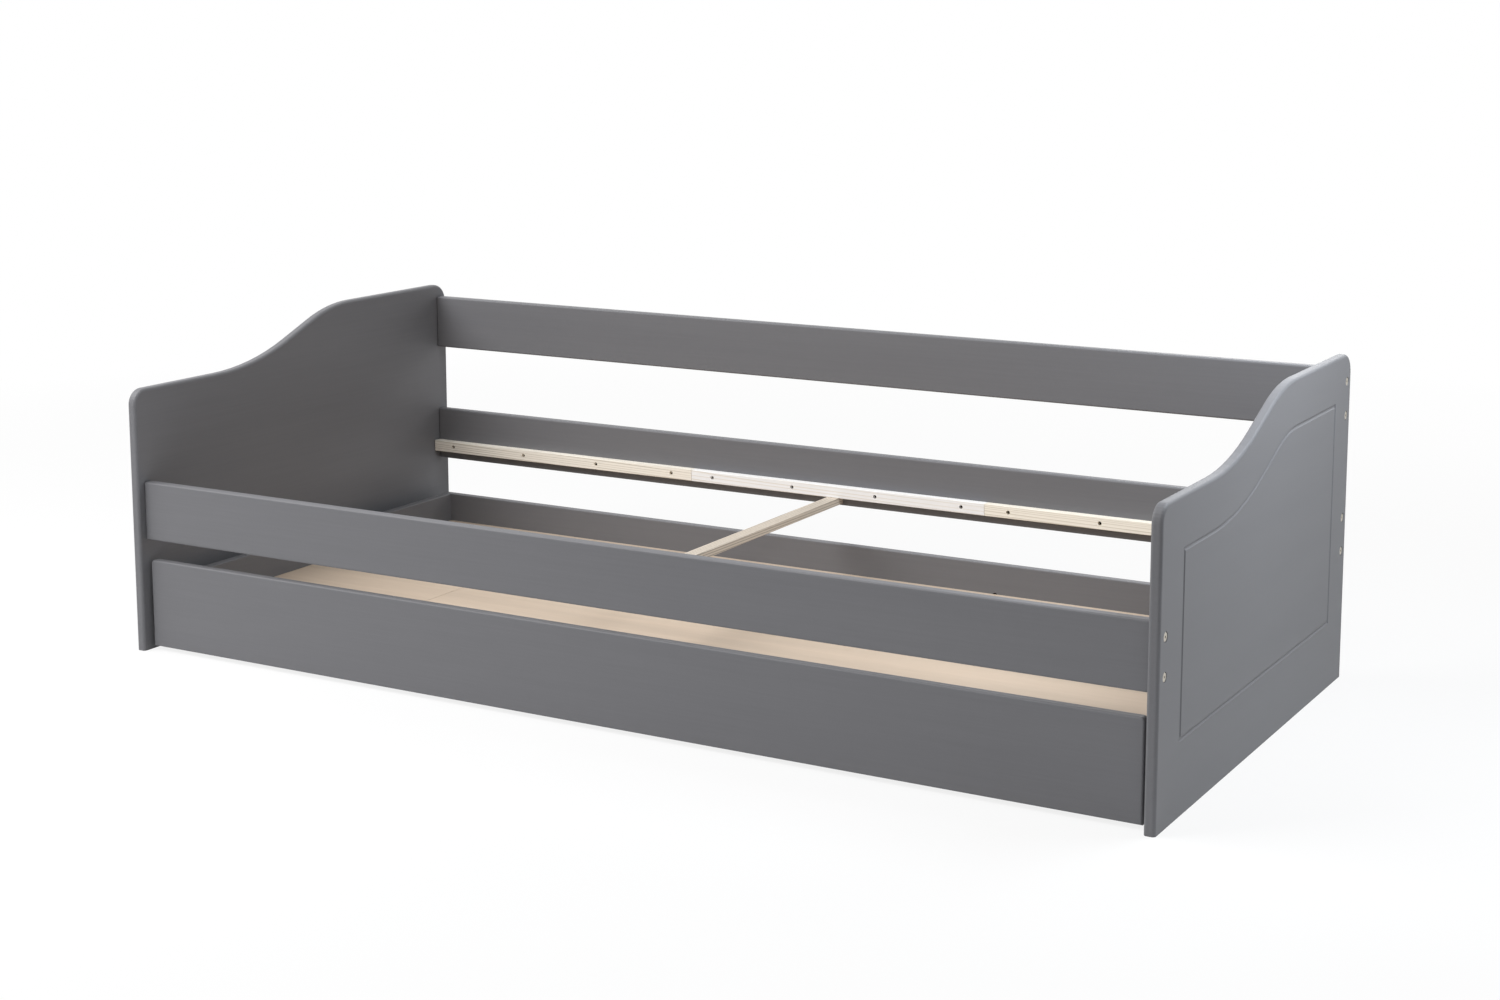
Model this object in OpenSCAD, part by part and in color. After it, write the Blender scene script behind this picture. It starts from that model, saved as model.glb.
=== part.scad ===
// Day bed with a storage drawer on casters.
// Two end panels with a waved top hold a front rail and two back rails. Pine ledges inside the lower
// rails carry a slatted base, one pine bar ties the ledges together, and the drawer rolls out in front.
// X runs along the bed, the front faces -Y and Z is up. The origin is the middle of the bed on the floor.

/* [Bed] */
// Length over both end panels
bed_length = 2060; // [1960:10:2160]
// Depth of an end panel, from front edge to back edge
bed_depth = 970; // [960:5:1000]
// Height of the end panels at the front
front_height = 508; // [480:1:515]
// Height of the end panels at the back
back_height = 606; // [600:1:640]

/* [End panels] */
// Thickness of an end panel
panel_t = 19; // [18:1:24]
// Radius that eases the panel's long edges
panel_edge_r = 5.5; // [2:0.5:8]
// Radius of the upper front corner, seen from the side
front_corner_r = 30; // [20:1:60]
// Radius of the upper back corner, seen from the side
back_corner_r = 38; // [20:1:60]
// Where the wave leaves the low front part, measured from the middle of the bed
wave_start_y = -255; // [-300:5:-220]
// Radius of the hollow half of the wave
hollow_r = 560; // [450:10:650]
// Radius of the crown half of the wave
crown_r = 340; // [250:10:400]
// Steepest slope of the wave, in degrees
wave_slope = 22; // [18:1:24]

/* [Routed line] */
// Width of the line routed into the outer faces
groove_w = 7.2; // [6:0.2:10]
// Depth of the routed line
groove_depth = 1.8; // [1:0.1:3]
// Distance from the panel's top edge down to the line
groove_drop = 85; // [60:1:100]
// Distance from the panel's front edge to the line
groove_front_margin = 100; // [70:1:130]
// Distance from the panel's back edge to the line
groove_back_margin = 95; // [70:1:130]
// Height of the line's lower run above the floor
groove_bottom_z = 125; // [100:1:150]

/* [Rails] */
// Height of each rail
rail_h = 112; // [90:1:120]
// Thickness of each rail
rail_t = 20; // [18:1:24]
// Radius that eases the rails' long edges
rail_edge_r = 3.5; // [1:0.5:6]
// Radius that eases the edges round a rail's ends
rail_end_r = 3.5; // [1:0.5:5]
// Underside of the front rail and the lower back rail
lower_rail_z = 217; // [210:1:230]
// Underside of the upper back rail
upper_rail_z = 468; // [440:1:475]
// Distance from the panels' front edge to the front rail's outer face
front_rail_inset = 15.5; // [10:0.5:20]
// Distance from the panels' back edge to the back rails' outer face
back_rail_inset = 14; // [10:0.5:20]

/* [Ledges and crossbar] */
// Thickness of a ledge, across the bed
ledge_t = 18; // [15:1:24]
// Height of a ledge
ledge_h = 24; // [20:1:30]
// Height of a ledge's underside above the rail's underside
ledge_rise = 18; // [15:1:30]
// Length that a row of three ledge pieces leaves free between the panels
ledge_row_play = 12; // [8:1:30]
// Gap between the left panel and the first piece
ledge_end_gap = 1.7; // [0.5:0.1:3]
// Gap between two pieces of a row
ledge_gap = 0.8; // [0.2:0.1:1]
// Number of screws in one ledge piece
ledge_screws = 4; // [2:1:4]
// Distance from each end of a piece to its nearest screw
ledge_end_screw = 50; // [40:1:60]
// Width of the crossbar
crossbar_w = 28; // [20:1:60]
// Thickness of the crossbar
crossbar_t = 14; // [12:1:17]
// Middle of the crossbar, along the bed
crossbar_x = -4; // [-40:1:40]

/* [Drawer] */
// Height of the drawer front
drawer_front_h = 169; // [150:1:175]
// Clearance between the drawer front and the floor
drawer_front_lift = 8; // [6:1:15]
// Gap between the drawer front and each end panel
drawer_end_gap = 8; // [5:1:12]
// Distance that the drawer front stands back from the front rail's face
drawer_setback = 2.5; // [0:0.5:6]
// Depth of the drawer, from its front face to its back face
drawer_depth = 912; // [880:2:914]
// Thickness of the drawer's front, sides and back
drawer_board_t = 18; // [16:1:20]
// Distance from each end of the drawer front to the drawer's side
drawer_side_inset = 20; // [10:1:40]
// Height of the drawer's sides and back
drawer_side_h = 100; // [80:1:110]
// Radius of the drawer front's upper corners
drawer_corner_r = 7; // [4:0.5:15]
// Radius that eases the edges of the drawer front
drawer_edge_r = 3.5; // [1:0.5:6]
// Thickness of the drawer's floor boards
floor_t = 6; // [4:1:10]
// Height of the bearers under the floor
bearer_h = 34; // [25:1:40]
// Width of the bearers under the floor
bearer_w = 40; // [30:1:60]

/* [Casters] */
// Diameter of a wheel
wheel_d = 35; // [30:1:36]
// Width of a wheel
wheel_w = 16; // [12:1:20]
// Height from the floor to the underside of the bearers
caster_h = 42; // [41:1:46]
// Distance from the middle of the bed to the outer casters
caster_spacing = 870; // [600:10:890]

/* [Hidden] */
// Number of flat strips that make each curve of a loft or an eased edge
corner_steps = 8;
wave_steps = 8;
edge_steps = 5;
ease_steps = 4;
bore_fn = 48;
// Play between a fastener and its hole, on the radius
hole_play = 0.1;
overshoot = 1;

GREY_LACQUER = [0.47, 0.47, 0.49];
PINE = [0.93, 0.86, 0.76];
PLYWOOD = [0.90, 0.82, 0.70];
ZINC = [0.72, 0.69, 0.62];
DARK_STEEL = [0.30, 0.27, 0.24];
BLACK_PLASTIC = [0.10, 0.10, 0.11];

half_length = bed_length / 2;
half_depth = bed_depth / 2;
inner_half = half_length - panel_t;

front_rail_y = -half_depth + front_rail_inset;
front_inner_y = front_rail_y + rail_t;
back_inner_y = half_depth - back_rail_inset - rail_t;

// The wave: a hollow arc, a straight slope and a crown arc, each tangent to the next
wave_rise = back_height - front_height;
wave_straight = (wave_rise - (hollow_r + crown_r) * (1 - cos(wave_slope))) / sin(wave_slope);
crown_y = wave_start_y + (hollow_r + crown_r) * sin(wave_slope) + wave_straight * cos(wave_slope);

// Connector bolts: two through the panel into each end of each rail, caught by a cross dowel nut
bolt_spacing = 62;
bolt_head_d = 16;
bolt_head_t = 2.6;
bolt_d = 6;
bolt_socket_af = 4;
bolt_recess_d = 17;
bolt_recess_depth = 3.2;
bolt_in_rail = 42;
bolt_bore_d = 7;
nut_inset = 30;
nut_d = 10;
nut_length = 14;
nut_bore_depth = 17;
lower_bolt_z = lower_rail_z + rail_h / 2;
upper_bolt_z = upper_rail_z + rail_h / 2;
front_bolt_y = front_rail_y + rail_t / 2;
back_bolt_y = back_inner_y + rail_t / 2;

// Ledges
ledge_piece = (2 * inner_half - ledge_row_play) / 3;
ledge_screw_pitch = (ledge_piece - 2 * ledge_end_screw) / (ledge_screws - 1);
ledge_z = lower_rail_z + ledge_rise;
ledge_ease = 1.2;
ledge_sink_d = 8;
ledge_sink_depth = 8;
ledge_screw_length = 26;
ledge_screw_z = ledge_z + ledge_h / 2;
screw_d = 4;
screw_head_d = 7.6;

crossbar_screw_length = 30;
crossbar_screw_y = [front_inner_y + ledge_t / 2, back_inner_y - ledge_t / 2];

// Drawer
drawer_front_y = front_rail_y + drawer_setback;
drawer_inner_front_y = drawer_front_y + drawer_board_t;
drawer_back_y = drawer_front_y + drawer_depth;
drawer_inner_back_y = drawer_back_y - drawer_board_t;
drawer_inner_depth = drawer_inner_back_y - drawer_inner_front_y;
drawer_front_half = inner_half - drawer_end_gap;
drawer_side_outer = drawer_front_half - drawer_side_inset;
drawer_inner_half = drawer_side_outer - drawer_board_t;
drawer_side_middle = drawer_side_outer - drawer_board_t / 2;
drawer_inner_length = 2 * drawer_inner_half;
drawer_side_z = caster_h;
drawer_side_ease = 2;
floor_z = caster_h + bearer_h;
floor_joint_gap = 1;
cross_bearer_count = 6;
cross_bearer_pitch = drawer_inner_length / (cross_bearer_count - 1);
floor_joint_x = -drawer_inner_half + cross_bearer_pitch;

// Cam fittings between the drawer front and the sides, screws through the back into the sides
cam_d = 15;
cam_depth = 12.5;
cam_inset = 24;
cam_dowel_d = 7;
cam_dowel_in_front = 11;
cam_z = [floor_z + floor_t + 15, drawer_side_z + drawer_side_h - 15];
back_screw_z = [drawer_side_z + 25, drawer_side_z + drawer_side_h - 25];
back_screw_d = 5;
back_screw_length = 50;
back_screw_head_d = 10;

// A round hole in the drawer back, of which the upper edge shows above the floor
back_hole_x = 360;
back_hole_d = 10;
back_hole_depth = 12;
back_hole_z = floor_z + floor_t - 2;

// Casters: a bent steel bracket, a riveted axle and a wheel with a sunk web
caster_x = [-caster_spacing, 0, caster_spacing];
caster_y = [drawer_inner_front_y + bearer_w / 2, drawer_inner_back_y - bearer_w / 2];
caster_places = [for (y = caster_y) for (x = caster_x) [x, y]];
caster_count = len(caster_places);
caster_plate_t = 2;
caster_plate = [56, 34];
caster_screw_x = 20;
caster_screw_length = 18;
pan_head_d = 8;
pan_head_t = 2.2;
cheek_t = 2;
cheek_gap = 0.8;
cheek_foot_r = 8;
cheek_top_half = 15;
axle_d = 5;
axle_head_d = 8;
axle_head_t = 1.2;
axle_play = 0.05;
wheel_edge_r = 2;
wheel_hub_r = 6;
wheel_rim_inner_r = 13.5;
wheel_web_t = 6;

cross_bearer_nodes = [for (i = [1:cross_bearer_count]) str("drawer_cross_bearer_", i)];
caster_bracket_nodes = [for (i = [1:caster_count]) str("caster_bracket_", i)];
caster_wheel_nodes = [for (i = [1:caster_count]) str("caster_wheel_", i)];

// Points along an arc, both ends included
function arc(center, r, from, to, steps) =
    [for (i = [0:steps]) let (a = from + (to - from) * i / steps) center + r * [cos(a), sin(a)]];

// Outline of a rectangle with round corners, its lower left corner at the origin
function rounded_rectangle(w, h, r, steps) = concat(
    arc([w - r, r], r, -90, 0, steps),
    arc([w - r, h - r], r, 0, 90, steps),
    arc([r, h - r], r, 90, 180, steps),
    arc([r, r], r, 180, 270, steps)
);

// Steps of a board's section, as [inset from the outline, level through the thickness]
function eased_section(t, r) = concat(
    [for (i = [0:edge_steps]) let (a = 90 * i / edge_steps) [r * (1 - sin(a)), r * (1 - cos(a))]],
    [for (i = [edge_steps:-1:0]) let (a = 90 * i / edge_steps) [r * (1 - sin(a)), t - r * (1 - cos(a))]]
);

// The waved top at a distance d below the edge, from the crown down to the hollow
function wave(d) = concat(
    arc([crown_y, back_height - crown_r], crown_r - d, 90, 90 + wave_slope, wave_steps),
    arc([wave_start_y, front_height + hollow_r], hollow_r + d, wave_slope - 90, -90, wave_steps)
);

// The end panel's outline, d inside its edge, as [y, z]; the foot stays on the floor
function end_outline(d) =
    let (back_corner = [half_depth - back_corner_r, back_height - back_corner_r])
    let (front_corner = [-half_depth + front_corner_r, front_height - front_corner_r])
    concat(
        [[-half_depth + d, 0], [half_depth - d, 0]],
        arc(back_corner, back_corner_r - d, 0, 90, corner_steps),
        wave(d),
        arc(front_corner, front_corner_r - d, 90, 180, corner_steps)
    );

// The routed line's path, d inside its middle, as [y, z]
function groove_outline(d) = concat(
    [[-half_depth + groove_front_margin + d, groove_bottom_z + d]],
    [[half_depth - groove_back_margin - d, groove_bottom_z + d]],
    [[half_depth - groove_back_margin - d, back_height - groove_drop - d]],
    wave(groove_drop + d),
    [[-half_depth + groove_front_margin + d, front_height - groove_drop - d]]
);

// The drawer front's outline, d inside its edge, as [x, z]; only the upper corners are round
function drawer_outline(d) =
    let (corner = [drawer_front_half - drawer_corner_r, drawer_front_h - drawer_corner_r])
    concat(
        [[-drawer_front_half + d, d], [drawer_front_half - d, d]],
        arc(corner, drawer_corner_r - d, 0, 90, corner_steps),
        arc([-corner.x, corner.y], drawer_corner_r - d, 90, 180, corner_steps)
    );

// The four sides between two rings of n points each
function band(n, low, high) =
    [for (i = [0:n - 1]) let (j = (i + 1) % n) [low * n + i, high * n + i, high * n + j, low * n + j]];

// A solid through rings of equal length, ring k lying at levels[k].
// Each end is a fan of triangles round the point middle, from which the whole outline can be seen.
module lofted_slab(rings, levels, middle) {
    n = len(rings[0]);
    last = len(rings) - 1;
    ring_points = [for (k = [0:last]) for (p = rings[k]) [p.x, p.y, levels[k]]];
    fan_points = [for (k = [0, last]) [middle.x, middle.y, levels[k]]];
    lower_middle = n * (last + 1);
    upper_middle = lower_middle + 1;
    sides = [for (k = [0:last - 1]) each band(n, k, k + 1)];
    lower_fan = [for (i = [0:n - 1]) [i, (i + 1) % n, lower_middle]];
    upper_fan = [for (i = [0:n - 1]) [last * n + (i + 1) % n, last * n + i, upper_middle]];
    polyhedron(concat(ring_points, fan_points), concat(sides, lower_fan, upper_fan));
}

// A closed moulding: the section's points, as [inset, level], carried round a loop
module lofted_loop(rings, levels) {
    n = len(rings[0]);
    count = len(rings);
    points = [for (k = [0:count - 1]) for (p = rings[k]) [p.x, p.y, levels[k]]];
    polyhedron(points, [for (k = [0:count - 1]) each band(n, k, (k + 1) % count)]);
}

// A straight bar along X from the origin, with eased long edges
module eased_bar(length, depth, height, ease) {
    rotate([90, 0, 90])
        linear_extrude(length)
            polygon(rounded_rectangle(depth, height, ease, ease_steps));
}

module bore(d, length) {
    translate([0, 0, -overshoot])
        cylinder(d = d, h = length + overshoot, $fn = bore_fn);
}

// Countersunk screw: its flat head at the origin, its point towards +Z
module countersunk_screw(d, length, head_d) {
    head_h = (head_d - d) / 2;
    tip_h = 1.5 * d;
    slot = [head_d * 0.55, head_d * 0.12, head_h * 0.8];
    difference() {
        union() {
            cylinder(d1 = head_d, d2 = d, h = head_h, $fn = bore_fn);
            cylinder(d = d, h = length - tip_h, $fn = bore_fn);
            translate([0, 0, length - tip_h])
                cylinder(d1 = d, d2 = d / 6, h = tip_h, $fn = bore_fn);
        }
        for (a = [0, 90])
            rotate([0, 0, a])
                translate([-slot.x / 2, -slot.y / 2, -overshoot])
                    cube([slot.x, slot.y, slot.z + overshoot]);
    }
}

// Hole for a countersunk screw, opening at the origin
module countersunk_hole(d, length, head_d) {
    bore(d + 2 * hole_play, length);
    cylinder(d1 = head_d + 2 * hole_play, d2 = d + 2 * hole_play, h = (head_d - d) / 2, $fn = bore_fn);
}

// Height of each bolt of a rail, given the middle of the rail
function bolt_heights(z) = [z - bolt_spacing / 2, z + bolt_spacing / 2];

// All the bolts of one end panel, as [y, z]
bolt_places = concat(
    [for (z = bolt_heights(lower_bolt_z)) [front_bolt_y, z]],
    [for (z = bolt_heights(lower_bolt_z)) [back_bolt_y, z]],
    [for (z = bolt_heights(upper_bolt_z)) [back_bolt_y, z]]
);

// The routed line as a solid to cut away, the panel's outer face lying at level 0.
// Its section is the shallow segment that a round-nosed cutter leaves.
module routed_line() {
    half_w = groove_w / 2;
    cutter_r = (half_w * half_w + groove_depth * groove_depth) / (2 * groove_depth);
    half_angle = asin(half_w / cutter_r);
    round_steps = 6;
    section = concat(
        [[-half_w, -overshoot]],
        [for (i = [0:round_steps])
            let (a = half_angle * (2 * i / round_steps - 1))
            [cutter_r * sin(a), groove_depth - cutter_r * (1 - cos(a))]],
        [[half_w, -overshoot]]
    );
    lofted_loop([for (s = section) groove_outline(s[0])], [for (s = section) s[1]]);
}

// An end panel with its outer face on X = 0 and its thickness towards +X
module end_panel() {
    section = eased_section(panel_t, panel_edge_r);
    difference() {
        rotate([90, 0, 90]) difference() {
            lofted_slab(
                [for (s = section) end_outline(s[0])],
                [for (s = section) s[1]],
                [0, front_height / 2]
            );
            routed_line();
        }
        for (place = bolt_places)
            translate([0, place[0], place[1]])
                rotate([0, 90, 0]) {
                    bore(bolt_recess_d, bolt_recess_depth);
                    bore(bolt_bore_d, panel_t + overshoot);
                }
    }
}

module left_end_panel() {
    color(GREY_LACQUER)
        translate([-half_length, 0, 0])
            end_panel();
}

module right_end_panel() {
    color(GREY_LACQUER)
        mirror([1, 0, 0])
            translate([-half_length, 0, 0])
                end_panel();
}

// The plain bar of a rail, its ends eased as well as its long edges
module rail_bar() {
    length = 2 * inner_half;
    intersection() {
        eased_bar(length, rail_t, rail_h, rail_edge_r);
        linear_extrude(rail_h)
            polygon(rounded_rectangle(length, rail_t, rail_end_r, ease_steps));
        translate([0, rail_t, 0])
            rotate([90, 0, 0])
                linear_extrude(rail_t)
                    polygon(rounded_rectangle(length, rail_h, rail_end_r, ease_steps));
    }
}

// A rail with bolt bores in its ends and holes for the cross dowel nuts in its +Y face
module rail(y, z) {
    difference() {
        translate([-inner_half, y, z])
            rail_bar();
        for (side = [0, 1])
            mirror([side, 0, 0])
                for (bolt_z = bolt_heights(z + rail_h / 2)) {
                    translate([-inner_half, y + rail_t / 2, bolt_z])
                        rotate([0, 90, 0])
                            bore(bolt_bore_d, bolt_in_rail + 2);
                    translate([-inner_half + nut_inset, y + rail_t, bolt_z])
                        rotate([90, 0, 0])
                            bore(nut_d + 2 * hole_play, nut_bore_depth);
                }
    }
}

// Left end of a ledge piece, counted from the left
function ledge_x(index) = -inner_half + ledge_end_gap + index * (ledge_piece + ledge_gap);

ledge_screw_x = [
    for (index = [0:2])
        for (i = [0:ledge_screws - 1])
            ledge_x(index) + ledge_end_screw + i * ledge_screw_pitch
];

// The screws of one row of ledges, or their holes, pointing from the bed's inside into the rail
module at_ledge_screws(face_y, into) {
    for (x = ledge_screw_x)
        translate([x, face_y, ledge_screw_z])
            rotate([into * -90, 0, 0])
                children();
}

// Pilot holes in the rail, from its inner face
module ledge_pilot_holes(rail_face_y, into) {
    at_ledge_screws(rail_face_y, into)
        bore(screw_d + 2 * hole_play, ledge_sink_depth + ledge_screw_length - ledge_t + 0.5);
}

module front_rail() {
    color(GREY_LACQUER) difference() {
        rail(front_rail_y, lower_rail_z);
        ledge_pilot_holes(front_inner_y, -1);
    }
}

module back_rail_lower() {
    color(GREY_LACQUER) difference() {
        rail(back_inner_y, lower_rail_z);
        ledge_pilot_holes(back_inner_y, 1);
    }
}

module back_rail_upper() {
    color(GREY_LACQUER)
        rail(back_inner_y, upper_rail_z);
}

// One piece of a ledge row; into is 1 at the back of the bed and -1 at the front
module ledge(index, into) {
    low_y = into > 0 ? back_inner_y - ledge_t : front_inner_y;
    open_y = into > 0 ? low_y : low_y + ledge_t;
    color(PINE) difference() {
        translate([ledge_x(index), low_y, ledge_z])
            eased_bar(ledge_piece, ledge_t, ledge_h, ledge_ease);
        for (i = [0:ledge_screws - 1])
            translate([ledge_x(index) + ledge_end_screw + i * ledge_screw_pitch, open_y, ledge_screw_z])
                rotate([into * -90, 0, 0]) {
                    bore(ledge_sink_d, ledge_sink_depth);
                    translate([0, 0, ledge_sink_depth])
                        countersunk_hole(screw_d, ledge_t, screw_head_d);
                }
        if (index == 1)
            translate([crossbar_x, low_y + ledge_t / 2, ledge_z])
                bore(screw_d + 2 * hole_play, crossbar_screw_length - crossbar_t + 0.5);
    }
}

module back_ledge_left() { ledge(0, 1); }
module back_ledge_middle() { ledge(1, 1); }
module back_ledge_right() { ledge(2, 1); }
module front_ledge_left() { ledge(0, -1); }
module front_ledge_middle() { ledge(1, -1); }
module front_ledge_right() { ledge(2, -1); }

// The bar that ties the two ledge rows together, from rail to rail under the ledges
module crossbar() {
    color(PINE) difference() {
        translate([crossbar_x + crossbar_w / 2, front_inner_y, ledge_z - crossbar_t])
            rotate([0, 0, 90])
                eased_bar(back_inner_y - front_inner_y, crossbar_w, crossbar_t, ledge_ease);
        for (y = crossbar_screw_y)
            translate([crossbar_x, y, ledge_z - crossbar_t])
                countersunk_hole(screw_d, crossbar_t + overshoot, screw_head_d);
    }
}

// Flat-headed connector bolt with a hexagon socket: its head's outer face at the origin, along +X
module connector_bolt() {
    shank_end = panel_t - bolt_recess_depth + bolt_in_rail;
    socket_depth = 2;
    chamfer = 1;
    rotate([0, 90, 0]) difference() {
        union() {
            cylinder(d1 = bolt_head_d - 2 * chamfer, d2 = bolt_head_d, h = chamfer, $fn = bore_fn);
            translate([0, 0, chamfer])
                cylinder(d = bolt_head_d, h = bolt_head_t - chamfer, $fn = bore_fn);
            cylinder(d = bolt_d, h = bolt_head_t + shank_end, $fn = bore_fn);
        }
        translate([0, 0, -overshoot])
            cylinder(d = bolt_socket_af / cos(30), h = socket_depth + overshoot, $fn = 6);
    }
}

module panel_bolts() {
    for (place = bolt_places)
        translate([-half_length + bolt_recess_depth - bolt_head_t, place[0], place[1]])
            connector_bolt();
}

module left_panel_bolts() {
    color(ZINC)
        panel_bolts();
}

module right_panel_bolts() {
    color(ZINC)
        mirror([1, 0, 0])
            panel_bolts();
}

// The four cross dowel nuts of one rail, seated at the bottom of their holes
module cross_dowel_nuts(y, z) {
    slot_w = 1.2;
    slot_depth = 1.5;
    color(ZINC)
        for (side = [0, 1])
            mirror([side, 0, 0])
                for (bolt_z = bolt_heights(z + rail_h / 2))
                    translate([-inner_half + nut_inset, y + rail_t - nut_bore_depth, bolt_z])
                        rotate([-90, 0, 0]) difference() {
                            cylinder(d = nut_d, h = nut_length, $fn = bore_fn);
                            translate([-nut_d, 0, nut_bore_depth - rail_t / 2])
                                rotate([0, 90, 0])
                                    cylinder(d = bolt_d + 2 * hole_play, h = 2 * nut_d, $fn = bore_fn);
                            translate([-nut_d, -slot_w / 2, nut_length - slot_depth])
                                cube([2 * nut_d, slot_w, slot_depth + overshoot]);
                        }
}

module front_rail_nuts() { cross_dowel_nuts(front_rail_y, lower_rail_z); }
module back_rail_lower_nuts() { cross_dowel_nuts(back_inner_y, lower_rail_z); }
module back_rail_upper_nuts() { cross_dowel_nuts(back_inner_y, upper_rail_z); }

module ledge_row_screws(face_y, into) {
    color(DARK_STEEL)
        at_ledge_screws(face_y + into * ledge_sink_depth, into)
            countersunk_screw(screw_d, ledge_screw_length, screw_head_d);
}

module back_ledge_screws() { ledge_row_screws(back_inner_y - ledge_t, 1); }
module front_ledge_screws() { ledge_row_screws(front_inner_y + ledge_t, -1); }

module crossbar_screws() {
    color(DARK_STEEL)
        for (y = crossbar_screw_y)
            translate([crossbar_x, y, ledge_z - crossbar_t])
                countersunk_screw(screw_d, crossbar_screw_length, screw_head_d);
}

module drawer_front() {
    section = eased_section(drawer_board_t, drawer_edge_r);
    color(GREY_LACQUER) difference() {
        translate([0, drawer_inner_front_y, drawer_front_lift])
            rotate([90, 0, 0])
                lofted_slab(
                    [for (s = section) drawer_outline(s[0])],
                    [for (s = section) s[1]],
                    [0, drawer_front_h / 2]
                );
        for (side = [-1, 1])
            for (z = cam_z)
                translate([side * drawer_side_middle, drawer_inner_front_y, z])
                    rotate([90, 0, 0])
                        bore(cam_dowel_d + 2 * hole_play, cam_dowel_in_front);
    }
}

// The left side board; the right one is its mirror image
module drawer_side() {
    color(GREY_LACQUER) difference() {
        translate([-drawer_inner_half, drawer_inner_front_y, drawer_side_z])
            rotate([0, 0, 90])
                eased_bar(drawer_inner_depth, drawer_board_t, drawer_side_h, drawer_side_ease);
        for (z = cam_z) {
            translate([-drawer_inner_half, drawer_inner_front_y + cam_inset, z])
                rotate([0, -90, 0])
                    bore(cam_d + 2 * hole_play, cam_depth);
            translate([-drawer_side_middle, drawer_inner_front_y, z])
                rotate([-90, 0, 0])
                    bore(cam_dowel_d + 2 * hole_play, cam_inset);
        }
        for (z = back_screw_z)
            translate([-drawer_side_middle, drawer_inner_back_y, z])
                rotate([90, 0, 0])
                    bore(back_screw_d + 2 * hole_play, back_screw_length - drawer_board_t + 1);
    }
}

module drawer_left_side() { drawer_side(); }

module drawer_right_side() {
    mirror([1, 0, 0])
        drawer_side();
}

module drawer_back() {
    color(GREY_LACQUER) difference() {
        translate([-drawer_side_outer, drawer_inner_back_y, drawer_side_z])
            eased_bar(2 * drawer_side_outer, drawer_board_t, drawer_side_h, drawer_side_ease);
        for (side = [-1, 1])
            for (z = back_screw_z)
                translate([side * drawer_side_middle, drawer_back_y, z])
                    rotate([90, 0, 0])
                        countersunk_hole(back_screw_d, drawer_board_t + overshoot, back_screw_head_d);
        translate([back_hole_x, drawer_inner_back_y, back_hole_z])
            rotate([-90, 0, 0])
                bore(back_hole_d, back_hole_depth);
    }
}

module floor_board(from_x, to_x) {
    color(PLYWOOD)
        translate([from_x, drawer_inner_front_y, floor_z])
            cube([to_x - from_x, drawer_inner_depth, floor_t]);
}

module drawer_floor_short() { floor_board(-drawer_inner_half, floor_joint_x - floor_joint_gap / 2); }
module drawer_floor_long() { floor_board(floor_joint_x + floor_joint_gap / 2, drawer_inner_half); }

// A bearer along the drawer's front or back, with the pilot holes of three casters
module long_bearer(low_y, row) {
    color(PINE) difference() {
        translate([-drawer_inner_half, low_y, caster_h])
            eased_bar(drawer_inner_length, bearer_w, bearer_h, ledge_ease);
        for (x = caster_x)
            for (side = [-1, 1])
                translate([x + side * caster_screw_x, caster_y[row], caster_h])
                    bore(screw_d + 2 * hole_play, caster_screw_length);
    }
}

module drawer_front_bearer() { long_bearer(drawer_inner_front_y, 0); }
module drawer_back_bearer() { long_bearer(drawer_inner_back_y - bearer_w, 1); }

// A bearer from the front bearer to the back one; the outermost two lie against the drawer's sides
module cross_bearer(index) {
    reach = drawer_inner_half - bearer_w / 2;
    x = max(-reach, min(reach, -drawer_inner_half + index * cross_bearer_pitch));
    color(PINE)
        translate([x + bearer_w / 2, drawer_inner_front_y + bearer_w, caster_h])
            rotate([0, 0, 90])
                eased_bar(drawer_inner_depth - 2 * bearer_w, bearer_w, bearer_h, ledge_ease);
}

// The four cams, each with a channel for the dowel's end and a cross slot in its face
module drawer_cams() {
    channel = cam_dowel_d + 4 * hole_play;
    slot_w = 1.4;
    slot_depth = 2;
    color(ZINC)
        for (side = [0, 1])
            mirror([side, 0, 0])
                for (z = cam_z)
                    translate([-drawer_inner_half, drawer_inner_front_y + cam_inset, z])
                        rotate([0, -90, 0]) difference() {
                            cylinder(d = cam_d, h = cam_depth, $fn = bore_fn);
                            translate([-channel / 2, -cam_d, drawer_board_t / 2 - channel / 2])
                                cube([channel, cam_d, channel]);
                            for (a = [0, 90])
                                rotate([0, 0, a])
                                    translate([-cam_d / 3, -slot_w / 2, -overshoot])
                                        cube([cam_d * 2 / 3, slot_w, slot_depth + overshoot]);
                        }
}

// The four dowels that the cams draw in: a stem in the drawer front, a neck and a round head
module drawer_cam_dowels() {
    head_l = 3;
    neck_l = 4;
    length = cam_dowel_in_front + cam_inset;
    color(ZINC)
        for (side = [-1, 1])
            for (z = cam_z)
                translate([side * drawer_side_middle, drawer_inner_front_y - cam_dowel_in_front, z])
                    rotate([-90, 0, 0]) {
                        cylinder(d = cam_dowel_d, h = length - neck_l - head_l, $fn = bore_fn);
                        cylinder(d = cam_dowel_d / 2, h = length, $fn = bore_fn);
                        translate([0, 0, length - head_l])
                            cylinder(d = cam_dowel_d, h = head_l, $fn = bore_fn);
                    }
}

module drawer_back_screws() {
    color(DARK_STEEL)
        for (side = [-1, 1])
            for (z = back_screw_z)
                translate([side * drawer_side_middle, drawer_back_y, z])
                    rotate([90, 0, 0])
                        countersunk_screw(back_screw_d, back_screw_length, back_screw_head_d);
}

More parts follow.
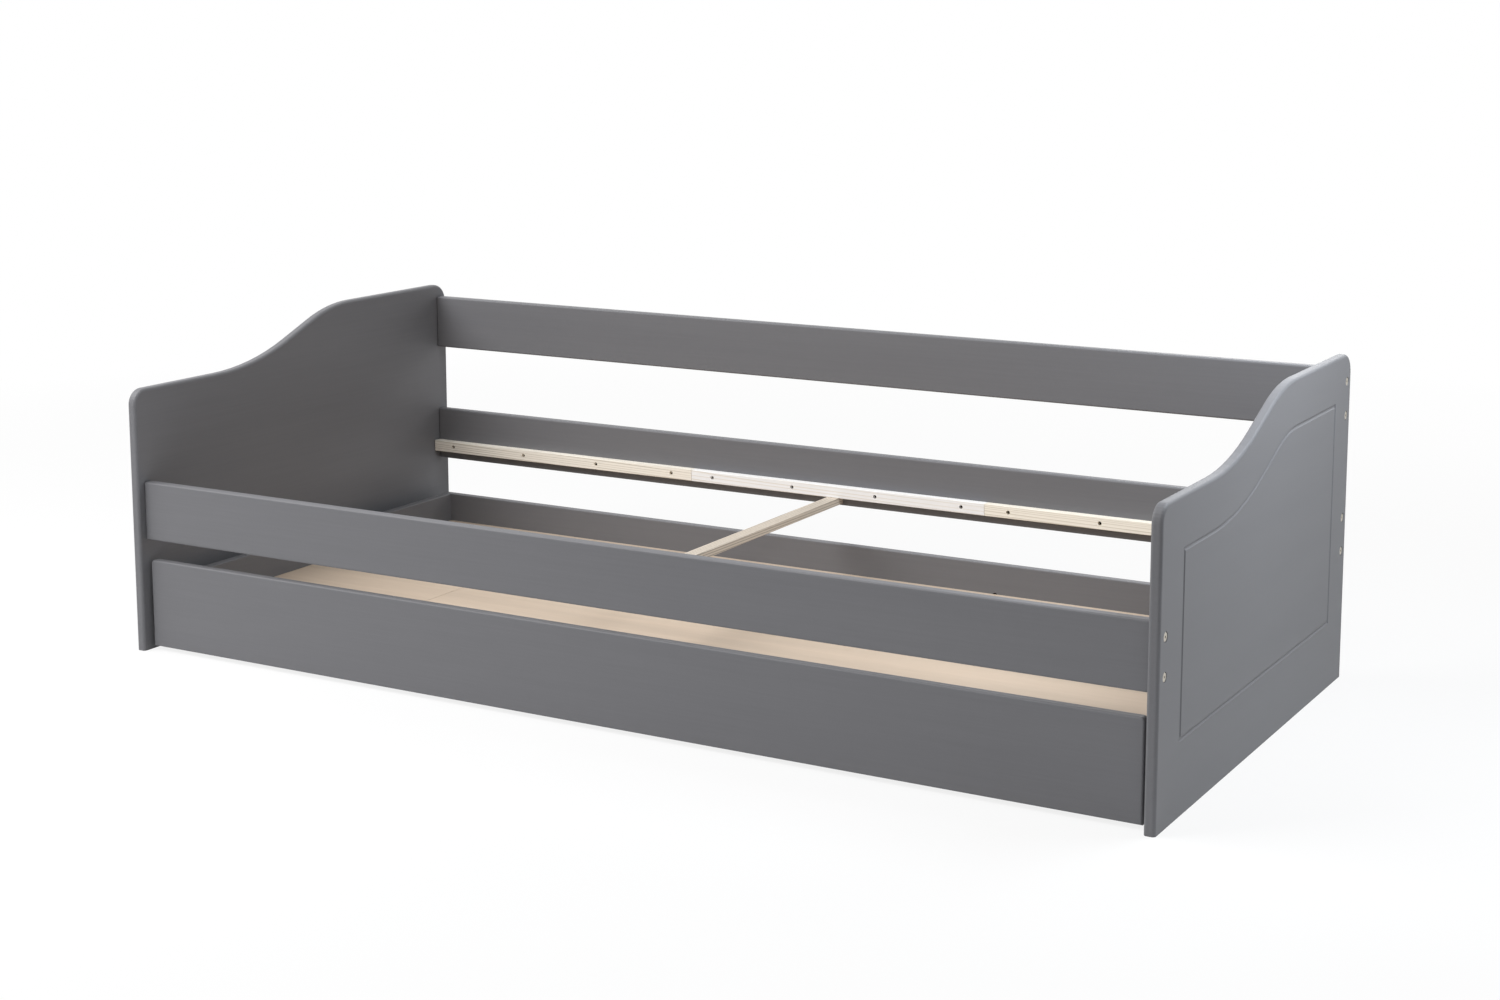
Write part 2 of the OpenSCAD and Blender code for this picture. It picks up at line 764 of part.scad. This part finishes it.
// A bracket around one wheel: a plate under the bearer and two cheeks that hold the axle
module caster_bracket(index) {
    place = caster_places[index];
    cheek_x = wheel_w / 2 + cheek_gap;
    axle_z = wheel_d / 2;
    plate_z = caster_h - caster_plate_t;
    color(ZINC) translate([place[0], place[1], 0]) difference() {
        union() {
            translate([-caster_plate.x / 2, -caster_plate.y / 2, plate_z])
                cube([caster_plate.x, caster_plate.y, caster_plate_t]);
            for (side = [0, 1])
                mirror([side, 0, 0])
                    translate([cheek_x, 0, 0])
                        rotate([90, 0, 90])
                            linear_extrude(cheek_t)
                                polygon(concat(
                                    [[cheek_top_half, plate_z + caster_plate_t / 2]],
                                    [[-cheek_top_half, plate_z + caster_plate_t / 2]],
                                    arc([0, axle_z], cheek_foot_r, 190, 350, 2 * corner_steps)
                                ));
        }
        translate([0, 0, axle_z])
            rotate([0, 90, 0])
                cylinder(d = axle_d + 2 * axle_play, h = caster_plate.x, center = true, $fn = bore_fn);
        for (side = [-1, 1])
            translate([side * caster_screw_x, 0, plate_z])
                bore(screw_d + 4 * hole_play, caster_plate_t + overshoot);
    }
}

// A wheel that turns on its axle: flat tread with eased rims, a thin web and a full-width hub
module caster_wheel(index) {
    place = caster_places[index];
    half_w = wheel_w / 2;
    r = wheel_d / 2;
    half_web = wheel_web_t / 2;
    bore_r = axle_d / 2 + axle_play;
    color(BLACK_PLASTIC)
        translate([place[0], place[1], r])
            rotate([0, 90, 0])
                rotate_extrude($fn = 96)
                    polygon(concat(
                        [[bore_r, -half_w], [wheel_hub_r, -half_w], [wheel_hub_r, -half_web]],
                        [[wheel_rim_inner_r, -half_web], [wheel_rim_inner_r, -half_w]],
                        arc([r - wheel_edge_r, -half_w + wheel_edge_r], wheel_edge_r, -90, 0, ease_steps),
                        arc([r - wheel_edge_r, half_w - wheel_edge_r], wheel_edge_r, 0, 90, ease_steps),
                        [[wheel_rim_inner_r, half_w], [wheel_rim_inner_r, half_web]],
                        [[wheel_hub_r, half_web], [wheel_hub_r, half_w], [bore_r, half_w]]
                    ));
}

// The riveted axles of all the casters, which stay with the brackets
module caster_axles() {
    cheek_outer = wheel_w / 2 + cheek_gap + cheek_t;
    color(ZINC)
        for (place = caster_places)
            translate([place[0], place[1], wheel_d / 2])
                rotate([0, 90, 0]) {
                    cylinder(d = axle_d, h = 2 * cheek_outer, center = true, $fn = bore_fn);
                    for (side = [0, 1])
                        mirror([0, 0, side])
                            translate([0, 0, cheek_outer])
                                cylinder(d = axle_head_d, h = axle_head_t, $fn = bore_fn);
                }
}

// Pan-head screws that hold the brackets to the bearers, two to a caster
module caster_screws() {
    color(DARK_STEEL)
        for (place = caster_places)
            for (side = [-1, 1])
                translate([place[0] + side * caster_screw_x, place[1], caster_h - caster_plate_t]) {
                    translate([0, 0, -pan_head_t])
                        cylinder(d = pan_head_d, h = pan_head_t, $fn = bore_fn);
                    cylinder(d = screw_d, h = caster_plate_t + caster_screw_length - 2, $fn = bore_fn);
                }
}

left_end_panel();
right_end_panel();
front_rail();
back_rail_lower();
back_rail_upper();
back_ledge_left();
back_ledge_middle();
back_ledge_right();
front_ledge_left();
front_ledge_middle();
front_ledge_right();
crossbar();
left_panel_bolts();
right_panel_bolts();
front_rail_nuts();
back_rail_lower_nuts();
back_rail_upper_nuts();
back_ledge_screws();
front_ledge_screws();
crossbar_screws();
drawer_front();
drawer_left_side();
drawer_right_side();
drawer_back();
drawer_floor_short();
drawer_floor_long();
drawer_front_bearer();
drawer_back_bearer();
for (i = [0:cross_bearer_count - 1])
    cross_bearer(i);
drawer_cams();
drawer_cam_dowels();
drawer_back_screws();
for (i = [0:caster_count - 1])
    caster_bracket(i);
for (i = [0:caster_count - 1])
    caster_wheel(i);
caster_axles();
caster_screws();
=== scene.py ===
# Looks, lights and camera for the day bed with its storage drawer.
# X runs along the bed, the front faces -Y and Z is up, in metres.

import math

import bpy
from mathutils import Matrix, Vector

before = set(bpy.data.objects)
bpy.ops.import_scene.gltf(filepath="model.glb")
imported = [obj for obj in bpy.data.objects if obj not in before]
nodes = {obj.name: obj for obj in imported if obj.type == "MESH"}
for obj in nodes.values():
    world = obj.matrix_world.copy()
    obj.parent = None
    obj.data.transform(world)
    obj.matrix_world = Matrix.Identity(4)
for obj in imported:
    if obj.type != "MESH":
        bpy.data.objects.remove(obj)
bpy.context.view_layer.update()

# Numbers of the axes that the grain of a board can run along
X, Y = 0, 1

# Colours as they look on screen, from 0 to 255
GREY_LACQUER = (115, 115, 118)
PINE_LEFT = (251, 245, 234)
PINE_MIDDLE = (250, 250, 251)
PINE_RIGHT = (251, 245, 233)
PINE_BAR = (213, 202, 188)
PINE_BEARER = (222, 200, 164)
PLYWOOD = (200, 182, 163)
YELLOW_ZINC = (188, 182, 170)
BLUE_ZINC = (196, 198, 202)
DARK_STEEL = (52, 46, 41)
BLACK_PLASTIC = (34, 34, 37)
FLOOR_WHITE = (238, 238, 238)

# Tints that a colour is multiplied by, as linear red, green, blue and alpha
NO_TINT = (1, 1, 1, 1)
LACQUER_CLOUD_TINT = (0.965, 0.965, 0.97, 1)
PINE_CLOUD_TINT = (0.97, 0.96, 0.945, 1)
PINE_FIBRE_TINT = (0.95, 0.945, 0.935, 1)
PLYWOOD_FIBRE_TINT = (0.94, 0.92, 0.89, 1)

# Green and blue that the dark lines in pine keep for each part of red
LATE_WOOD_GREEN = 0.93
LATE_WOOD_BLUE = 0.82

# Scale of each figure along the grain and across it, where a higher value is finer
LACQUER_CLOUDS = (1.3, 16)
LACQUER_GRAIN = (5, 240)
LACQUER_PORES = (26, 900)
PINE_RINGS = (0.8, 60)
PINE_CLOUDS = (2.2, 30)
PINE_FIBRES = (30, 1500)
PLYWOOD_FIGURE = (1.4, 22)
PLYWOOD_FIBRES = (22, 700)

# The same for a figure that is alike in every direction
LACQUER_PEEL = 260
METAL_GRAIN = 1800
METAL_CLOUDS = 90
PLASTIC_SPARK = 1400
PLASTIC_SCUFFS = 140

# Roughness where a surface is smoothest and where it is dullest
SATIN = (0.42, 0.52)
PLANED = (0.58, 0.72)
SANDED = (0.5, 0.64)
BRIGHT_PLATING = (0.28, 0.42)
DULL_PLATING = (0.3, 0.45)
OILED_STEEL = (0.35, 0.5)
MOULDED = (0.42, 0.6)

# Height of the finest relief, in metres
LACQUER_RELIEF = 0.0004
WOOD_RELIEF = 0.0003
SMOOTH_RELIEF = 0.0002

# Length of one ring of Blender's wave texture at scale 1
RING_PERIOD = math.tau / 10
# How far the rings of pine stray from straight lines, and the scale of their bends
RING_WAVER = 18
RING_WAVER_SCALE = 0.25


def linear(color, gain=1.0):
    """A screen colour as Blender's linear red, green, blue and alpha."""
    def channel(value):
        share = value / 255
        return share / 12.92 if share <= 0.04045 else ((share + 0.055) / 1.055) ** 2.4

    return tuple(min(1.0, channel(value) * gain) for value in color) + (1.0,)


# Materials

class Painter:
    """A material with one Principled shader, and short ways to add nodes to it."""

    def __init__(self, name):
        self.material = bpy.data.materials.new(name)
        self.material.use_nodes = True
        self.tree = self.material.node_tree
        self.shader = self.tree.nodes["Principled BSDF"]
        self.place = self.tree.nodes.new("ShaderNodeTexCoord").outputs["Object"]

    def node(self, kind, **values):
        made = self.tree.nodes.new(kind)
        for name, value in values.items():
            setattr(made, name, value)
        return made

    def link(self, output, target):
        self.tree.links.new(output, target)

    def stretched(self, scale, offset=(0, 0, 0)):
        """The object's coordinates, scaled along each axis."""
        mapping = self.node("ShaderNodeMapping")
        mapping.inputs["Scale"].default_value = scale
        mapping.inputs["Location"].default_value = offset
        self.link(self.place, mapping.inputs["Vector"])
        return mapping.outputs["Vector"]

    def noise(self, vector, detail=3.0, roughness=0.5, distortion=0.0):
        """A figure of soft spots, whose size the vector sets."""
        made = self.node("ShaderNodeTexNoise")
        self.link(vector, made.inputs["Vector"])
        made.inputs["Scale"].default_value = 1.0
        made.inputs["Detail"].default_value = detail
        made.inputs["Roughness"].default_value = roughness
        made.inputs["Distortion"].default_value = distortion
        return made.outputs["Fac"]

    def ramp(self, value, *stops):
        """Maps a value to colours, where each stop is (position, colour)."""
        made = self.node("ShaderNodeValToRGB")
        elements = made.color_ramp.elements
        elements[0].position, elements[0].color = stops[0]
        elements[1].position, elements[1].color = stops[-1]
        for position, color in stops[1:-1]:
            elements.new(position).color = color
        self.link(value, made.inputs["Fac"])
        return made.outputs["Color"]

    def span(self, value, low, high, from_low=0.0, from_high=1.0):
        """Maps a value from one range to another."""
        made = self.node("ShaderNodeMapRange")
        self.link(value, made.inputs["Value"])
        made.inputs["From Min"].default_value = from_low
        made.inputs["From Max"].default_value = from_high
        made.inputs["To Min"].default_value = low
        made.inputs["To Max"].default_value = high
        return made.outputs["Result"]

    def mix(self, share, a, b, blend="MIX"):
        """Mixes two colours or values, each of them a socket or a constant."""
        made = self.node("ShaderNodeMix", data_type="RGBA", blend_type=blend)
        for name, value in (("Factor", share), ("A", a), ("B", b)):
            socket = made.inputs[name]
            if isinstance(value, bpy.types.NodeSocket):
                self.link(value, socket)
            else:
                socket.default_value = value
        return made.outputs["Result"]

    def tinted(self, color, tint):
        """A colour multiplied by a tint."""
        return self.mix(1.0, color, tint, "MULTIPLY")

    def bump(self, height, strength, distance, below=None):
        """Fine relief, on top of the relief below it if there is one."""
        made = self.node("ShaderNodeBump")
        made.inputs["Strength"].default_value = strength
        made.inputs["Distance"].default_value = distance
        self.link(height, made.inputs["Height"])
        if below is not None:
            self.link(below, made.inputs["Normal"])
        return made.outputs["Normal"]

    def finish(self, color, roughness, normal, **constants):
        """Joins the parts to the shader; a constant names its input with underscores."""
        self.link(color, self.shader.inputs["Base Color"])
        self.link(roughness, self.shader.inputs["Roughness"])
        self.link(normal, self.shader.inputs["Normal"])
        for name, value in constants.items():
            self.shader.inputs[name.replace("_", " ")].default_value = value
        return self.material


def along(axis, length_scale, cross_scale):
    """Scale of a figure that runs along one axis."""
    return tuple(length_scale if i == axis else cross_scale for i in range(3))


def even(scale):
    """The same scale along each axis."""
    return (scale, scale, scale)


def lacquer(name, axis):
    """Satin lacquer on wood: the grain shows faintly under it, along the board."""
    paint = Painter(name)
    clouds = paint.noise(paint.stretched(along(axis, *LACQUER_CLOUDS)), detail=2)
    grain = paint.noise(paint.stretched(along(axis, *LACQUER_GRAIN)), detail=4, roughness=0.6)
    pores = paint.noise(paint.stretched(along(axis, *LACQUER_PORES)), detail=2, roughness=0.7)
    peel = paint.noise(paint.stretched(even(LACQUER_PEEL)), detail=1)
    dark = linear(GREY_LACQUER, gain=0.975)
    pale = linear(GREY_LACQUER, gain=1.025)
    tone = paint.ramp(grain, (0.3, dark), (0.7, pale))
    color = paint.tinted(tone, paint.ramp(clouds, (0.3, LACQUER_CLOUD_TINT), (0.7, NO_TINT)))
    height = paint.mix(0.35, grain, pores)
    normal = paint.bump(peel, strength=0.05, distance=LACQUER_RELIEF)
    normal = paint.bump(height, strength=0.12, distance=LACQUER_RELIEF, below=normal)
    return paint.finish(color, paint.span(grain, *SATIN), normal, Specular_IOR_Level=0.25)


def growth_rings(paint, axis, offset, width):
    """Rings cut along the board, width metres apart, each of them rising from 0 to 1."""
    length_scale, cross_scale = PINE_RINGS
    made = paint.node("ShaderNodeTexWave", bands_direction="DIAGONAL", wave_profile="SAW")
    paint.link(paint.stretched(along(axis, length_scale, cross_scale), offset), made.inputs["Vector"])
    made.inputs["Scale"].default_value = RING_PERIOD / (cross_scale * width)
    made.inputs["Distortion"].default_value = RING_WAVER
    made.inputs["Detail"].default_value = 2
    made.inputs["Detail Scale"].default_value = RING_WAVER_SCALE
    return made.outputs["Fac"]


def pine(name, axis, color, offset, late=0.7, width=0.0055, clear=0.25):
    """Planed pine: growth rings cut along the board, each ending in a thin darker line.

    late is how dark the lines are, width the space between them, and clear how far they
    still show where the figure is faintest.
    """
    paint = Painter(name)
    rings = growth_rings(paint, axis, offset, width)
    clouds = paint.noise(paint.stretched(along(axis, *PINE_CLOUDS), offset), detail=2)
    fibres = paint.noise(paint.stretched(along(axis, *PINE_FIBRES), offset), detail=2, roughness=0.7)
    early = linear(color)
    red, green, blue = early[:3]
    dark = (red * late, green * late * LATE_WOOD_GREEN, blue * late * LATE_WOOD_BLUE, 1.0)
    half_dark = tuple((a + b) / 2 for a, b in zip(early, dark))
    ringed = paint.ramp(rings, (0.0, early), (0.55, early), (0.8, half_dark), (0.9, dark), (1.0, early))
    strength = paint.span(clouds, clear, 1.0, from_low=0.35, from_high=0.6)
    shade = paint.mix(strength, early, ringed)
    shade = paint.tinted(shade, paint.ramp(clouds, (0.3, PINE_CLOUD_TINT), (0.65, NO_TINT)))
    shade = paint.tinted(shade, paint.ramp(fibres, (0.25, PINE_FIBRE_TINT), (0.6, NO_TINT)))
    normal = paint.bump(paint.mix(0.5, rings, fibres), strength=0.12, distance=WOOD_RELIEF)
    return paint.finish(shade, paint.span(fibres, *PLANED), normal)


def plywood(name, offset):
    """Sanded birch plywood: a pale face with a soft, close figure along the bed."""
    paint = Painter(name)
    figure = paint.noise(paint.stretched(along(X, *PLYWOOD_FIGURE), offset), distortion=0.4)
    fibres = paint.noise(paint.stretched(along(X, *PLYWOOD_FIBRES), offset), roughness=0.7)
    face = paint.ramp(figure, (0.3, linear(PLYWOOD, gain=0.88)), (0.7, linear(PLYWOOD, gain=1.05)))
    shade = paint.tinted(face, paint.ramp(fibres, (0.3, PLYWOOD_FIBRE_TINT), (0.62, NO_TINT)))
    normal = paint.bump(fibres, strength=0.12, distance=WOOD_RELIEF)
    return paint.finish(shade, paint.span(fibres, *SANDED), normal)


def metal(name, color, roughness):
    """Steel, plated or oiled, with a fine uneven sheen."""
    paint = Painter(name)
    grain = paint.noise(paint.stretched(even(METAL_GRAIN)), detail=2)
    clouds = paint.noise(paint.stretched(even(METAL_CLOUDS)))
    shade = paint.ramp(clouds, (0.3, linear(color, gain=0.86)), (0.7, linear(color, gain=1.06)))
    normal = paint.bump(grain, strength=0.08, distance=SMOOTH_RELIEF)
    return paint.finish(shade, paint.span(clouds, *roughness), normal, Metallic=1.0)


def plastic(name):
    """Matte moulded plastic, scuffed a little paler by rolling."""
    paint = Painter(name)
    spark = paint.noise(paint.stretched(even(PLASTIC_SPARK)), detail=2)
    scuffs = paint.noise(paint.stretched(even(PLASTIC_SCUFFS)), detail=4, roughness=0.7)
    scuffed = linear(BLACK_PLASTIC, gain=1.7)
    shade = paint.ramp(scuffs, (0.4, linear(BLACK_PLASTIC)), (0.75, scuffed))
    normal = paint.bump(spark, strength=0.1, distance=SMOOTH_RELIEF)
    return paint.finish(shade, paint.span(scuffs, *MOULDED), normal)


lacquer_along_x = lacquer("lacquer_along_x", X)
lacquer_along_y = lacquer("lacquer_along_y", Y)
yellow_zinc = metal("yellow_zinc", YELLOW_ZINC, BRIGHT_PLATING)
blue_zinc = metal("blue_zinc", BLUE_ZINC, DULL_PLATING)
dark_steel = metal("dark_steel", DARK_STEEL, OILED_STEEL)
black_plastic = plastic("black_plastic")

# Each board shows another place of the figure, which its offset sets
ledge_pine = {
    "left": pine("pine_left", X, PINE_LEFT, offset=(0.3, 0, 0), late=0.5, clear=0.35),
    "middle": pine("pine_middle", X, PINE_MIDDLE, offset=(5.1, 0.4, 0), late=0.84),
    "right": pine("pine_right", X, PINE_RIGHT, offset=(9.7, 0.9, 0), late=0.62),
}
bar_pine = pine("pine_bar", Y, PINE_BAR, offset=(1.9, 0, 0), late=0.3, width=0.0065, clear=0.9)
long_bearer_pine = pine("pine_long_bearer", X, PINE_BEARER, offset=(2.4, 0, 0))
cross_bearer_pine = pine("pine_cross_bearer", Y, PINE_BEARER, offset=(3.6, 0, 0))

finishes = {
    "left_end_panel": lacquer_along_y,
    "right_end_panel": lacquer_along_y,
    "drawer_left_side": lacquer_along_y,
    "drawer_right_side": lacquer_along_y,
    "crossbar": bar_pine,
    "drawer_front_bearer": long_bearer_pine,
    "drawer_back_bearer": long_bearer_pine,
    "drawer_floor_short": plywood("plywood_short", offset=(0, 0, 0)),
    "drawer_floor_long": plywood("plywood_long", offset=(7.3, 1.7, 0)),
    "left_panel_bolts": yellow_zinc,
    "right_panel_bolts": yellow_zinc,
    "drawer_cams": blue_zinc,
    "drawer_cam_dowels": blue_zinc,
    "caster_axles": blue_zinc,
}
for name in ("front_rail", "back_rail_lower", "back_rail_upper", "drawer_front", "drawer_back"):
    finishes[name] = lacquer_along_x
for side in ("back", "front"):
    for place, material in ledge_pine.items():
        finishes[f"{side}_ledge_{place}"] = material
for name in nodes:
    if name.startswith("drawer_cross_bearer"):
        finishes[name] = cross_bearer_pine
    elif name.startswith("caster_wheel"):
        finishes[name] = black_plastic
    elif name.startswith("caster_bracket"):
        finishes[name] = blue_zinc
    elif name.endswith("_screws"):
        finishes[name] = dark_steel
    elif name.endswith("_nuts"):
        finishes[name] = blue_zinc

for name, node in nodes.items():
    node.data.materials.clear()
    node.data.materials.append(finishes[name])


# Floor and world

FLOOR_SIZE = 60
# Share of plain white seen in the floor near the bed, where the rest shows the shadow
GLOW_NEAR = 0.84
# Distances from the bed's middle between which the floor fades to all white
SHADOW_REACH = (1.2, 4.0)
# Strength of the world as light on the object
AMBIENT = 0.23
PLAIN_WHITE = (1, 1, 1, 1)


def computed(tree, operation, first, second):
    """One value worked out from two."""
    made = tree.nodes.new("ShaderNodeMath")
    made.operation = operation
    tree.links.new(first, made.inputs[0])
    tree.links.new(second, made.inputs[1])
    return made.outputs[0]


def blended(tree, share, below, above):
    """Two shaders in one, where share is how much of the second one shows."""
    made = tree.nodes.new("ShaderNodeMixShader")
    tree.links.new(share, made.inputs["Fac"])
    tree.links.new(below.outputs[0], made.inputs[1])
    tree.links.new(above.outputs[0], made.inputs[2])
    return made.outputs[0]


def seen_directly(tree):
    """1 where a camera, mirror or glass ray meets the surface, else 0."""
    path = tree.nodes.new("ShaderNodeLightPath")
    seen = path.outputs["Is Camera Ray"]
    for ray in ("Is Glossy Ray", "Is Transmission Ray"):
        seen = computed(tree, "MAXIMUM", seen, path.outputs[ray])
    return seen


def white_share(tree):
    """GLOW_NEAR round the middle of the bed, rising to 1 further out."""
    distance = tree.nodes.new("ShaderNodeVectorMath")
    distance.operation = "LENGTH"
    tree.links.new(tree.nodes.new("ShaderNodeTexCoord").outputs["Object"], distance.inputs[0])
    level = tree.nodes.new("ShaderNodeMapRange")
    level.inputs["From Min"].default_value, level.inputs["From Max"].default_value = SHADOW_REACH
    level.inputs["To Min"].default_value = GLOW_NEAR
    level.inputs["To Max"].default_value = 1.0
    tree.links.new(distance.outputs["Value"], level.inputs["Value"])
    return level.outputs["Result"]


def floor_paint():
    """Matte white as light meets it, and mostly plain white where it is seen."""
    material = bpy.data.materials.new("floor_white")
    material.use_nodes = True
    tree = material.node_tree
    matte = tree.nodes["Principled BSDF"]
    matte.inputs["Base Color"].default_value = linear(FLOOR_WHITE)
    matte.inputs["Roughness"].default_value = 0.9
    matte.inputs["Specular IOR Level"].default_value = 0.0
    glow = tree.nodes.new("ShaderNodeEmission")
    glow.inputs["Strength"].default_value = 1.0
    share = computed(tree, "MULTIPLY", seen_directly(tree), white_share(tree))
    surface = blended(tree, share, matte, glow)
    tree.links.new(surface, tree.nodes["Material Output"].inputs["Surface"])
    return material


def make_floor():
    """A plain pale floor, white to the camera, that keeps a faint shadow round the bed."""
    bpy.ops.mesh.primitive_plane_add(size=FLOOR_SIZE)
    floor = bpy.context.object
    floor.name = "floor"
    floor.data.materials.append(floor_paint())


def make_world():
    """White where it is seen, and a plain soft grey as light."""
    world = bpy.data.worlds.new("studio")
    bpy.context.scene.world = world
    world.use_nodes = True
    tree = world.node_tree
    seen = tree.nodes["Background"]
    seen.inputs["Color"].default_value = PLAIN_WHITE
    seen.inputs["Strength"].default_value = 1.0
    soft = tree.nodes.new("ShaderNodeBackground")
    soft.inputs["Color"].default_value = PLAIN_WHITE
    soft.inputs["Strength"].default_value = AMBIENT
    surface = blended(tree, seen_directly(tree), soft, seen)
    tree.links.new(surface, tree.nodes["World Output"].inputs["Surface"])


# Camera, solved from the straight edges of the bed in the photograph
# Angles are in degrees, and the lens and the sensor in millimetres

CAMERA_PLACE = (2.204, -3.737, 1.264)
CAMERA_TURN = 29.929
CAMERA_TILT = 8.745
CAMERA_ROLL = -0.087
CAMERA_LENS = 56.99
CAMERA_SHIFT_Y = -0.1
SENSOR_WIDTH = 36


def make_camera():
    """The camera, turned about Z, then tilted down from level and rolled a little."""
    data = bpy.data.cameras.new("camera")
    data.sensor_width = SENSOR_WIDTH
    data.lens = CAMERA_LENS
    data.shift_y = CAMERA_SHIFT_Y
    camera = bpy.data.objects.new("camera", data)
    turn = Matrix.Rotation(math.radians(CAMERA_TURN), 4, "Z")
    tilt = Matrix.Rotation(math.radians(90 - CAMERA_TILT), 4, "X")
    roll = Matrix.Rotation(math.radians(CAMERA_ROLL), 4, "Z")
    camera.matrix_world = Matrix.Translation(CAMERA_PLACE) @ turn @ tilt @ roll
    bpy.context.scene.collection.objects.link(camera)
    bpy.context.scene.camera = camera


# Lamps, with their powers in watts

# Points that the lamps face: a little behind the bed's middle, and high on the right panel
BED_TARGET = (0, 0.1, 0.3)
RIGHT_PANEL_TARGET = (1.03, 0, 0.5)
WHITE_LIGHT = (1, 1, 1)
COOL_LIGHT = (0.88, 0.94, 1.0)


def softbox(name, place, target, size, power, color=WHITE_LIGHT):
    """A rectangular area light, size wide and high, that faces the target."""
    data = bpy.data.lights.new(name, "AREA")
    data.shape = "RECTANGLE"
    data.size, data.size_y = size
    data.energy = power
    data.color = color
    lamp = bpy.data.objects.new(name, data)
    lamp.location = place
    lamp.rotation_euler = (Vector(target) - Vector(place)).to_track_quat("-Z", "Y").to_euler()
    bpy.context.scene.collection.objects.link(lamp)


def make_lights():
    """A large lamp high at the left, and two weak ones that fill the right side and the back."""
    softbox(
        "key",
        place=(-2.0, -1.6, 3.15),
        target=BED_TARGET,
        size=(3.0, 3.0),
        power=180,
    )
    softbox(
        "right_near",
        place=(1.42, 0.1, 1.25),
        target=RIGHT_PANEL_TARGET,
        size=(0.7, 0.4),
        power=13,
        color=COOL_LIGHT,
    )
    softbox(
        "back_fill",
        place=(0.5, 3.6, 1.7),
        target=BED_TARGET,
        size=(2.4, 1.6),
        power=26,
    )


make_floor()
make_world()
make_camera()
make_lights()
bpy.context.scene.view_settings.view_transform = "Standard"
